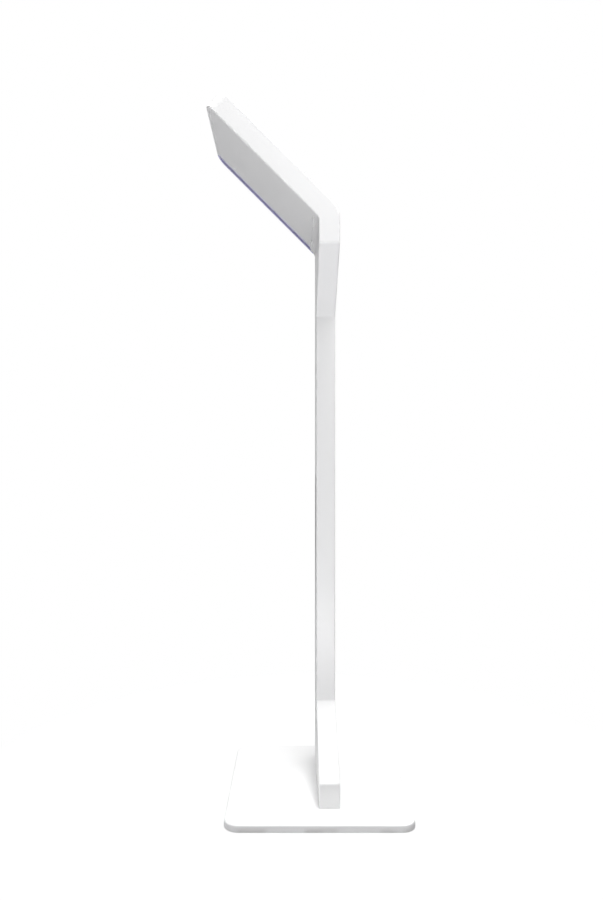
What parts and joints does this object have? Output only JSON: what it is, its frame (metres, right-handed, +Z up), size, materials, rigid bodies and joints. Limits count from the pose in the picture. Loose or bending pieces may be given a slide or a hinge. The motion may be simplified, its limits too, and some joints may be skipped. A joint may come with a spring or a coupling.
{
  "type": "touchscreen kiosk",
  "caption": "Slim floor-standing touchscreen kiosk: square base plate, offset notched column and a head leaning back at 45 degrees, with a drop-down service cover.",
  "frame": {"origin": "centre of the base plate on the floor, at the mat's underside", "axes": "+Z up; the visitor stands on the -Y side and the head leans back towards +Y; +X is the stand's straight side and -X its notched side"},
  "size_m": [0.32, 0.3555, 1.2515],
  "materials": {
    "white_paint": "fine smooth white powder coat",
    "plate_paint": "fine smooth white powder coat on thick plate",
    "mat_rubber": "matt ribbed rubber",
    "zinc_steel": "bright zinc plated steel",
    "plain_steel": "galvanised sheet",
    "black_rubber": "soft black rubber",
    "foam": "closed cell foam",
    "screen_glass": "clear strengthened glass with a dark border",
    "display": "lit display",
    "circuit": "solder masked circuit board",
    "fin_aluminium": "extruded aluminium",
    "black_plastic": "fine textured black plastic",
    "white_plastic": "smooth white plastic",
    "diffuser": "smoky blue violet light diffuser",
    "chrome_metal": "polished chrome",
    "brass_metal": "turned brass",
    "lead_jacket": "smooth black cable jacket"
  },
  "bodies": {
    "stand": {"base_plate": "plate_paint", "base_mat": "mat_rubber", "base_bolts": "zinc_steel", "foot_flange": "plain_steel", "cable_grommet": "black_rubber", "body_shell": "white_paint", "spine": "plain_steel", "rear_panel": "white_paint", "panel_screws": "white_paint", "gussets": "plain_steel", "head_bracket": "plain_steel", "touch_glass": "screen_glass", "glass_gasket": "foam", "display_tray": "plain_steel", "display_panel": "display", "tray_studs": "zinc_steel", "tray_nuts": "zinc_steel", "board_standoffs": "brass_metal", "main_board": "circuit", "board_screws": "zinc_steel", "heat_sink": "fin_aluminium", "power_connector": "black_plastic", "speaker": "black_plastic", "button_ring": "chrome_metal", "fixed_hinges": "white_paint", "hinge_pins": "zinc_steel", "cover_ledge": "plain_steel", "cover_seal": "foam", "screw_receiver": "black_plastic", "lock_barrel": "chrome_metal", "light_strip": "diffuser", "light_board": "circuit", "power_supply": "black_plastic", "supply_strap": "plain_steel", "power_lead": "lead_jacket", "lead_clips": "black_plastic"},
    "cover": {"service_cover": "white_paint", "cover_hinges": "white_paint", "cover_screw": "white_paint", "lock_strike": "zinc_steel"},
    "lock": {"lock_plug": "chrome_metal", "lock_cam": "zinc_steel", "cam_nut": "zinc_steel"},
    "button": {"power_button": "white_plastic"}
  },
  "joints": [
    {"name": "cover_hinge", "type": "hinge", "parent": "stand", "child": "cover", "pos_m": [0, 0.00848, 1.03869], "axis": [-1, 0, 0], "range_deg": [0, 130]},
    {"name": "lock_turn", "type": "hinge", "parent": "stand", "child": "lock", "pos_m": [0.1, 0.15592, 1.20804], "axis": [1, 0, 0], "range_deg": [0, 90]},
    {"name": "button_press", "type": "slide", "parent": "stand", "child": "button", "axis": [-1, 0, 0], "range_m": [0, 0.0012], "stiffness_N_per_m": 1500}
  ]
}
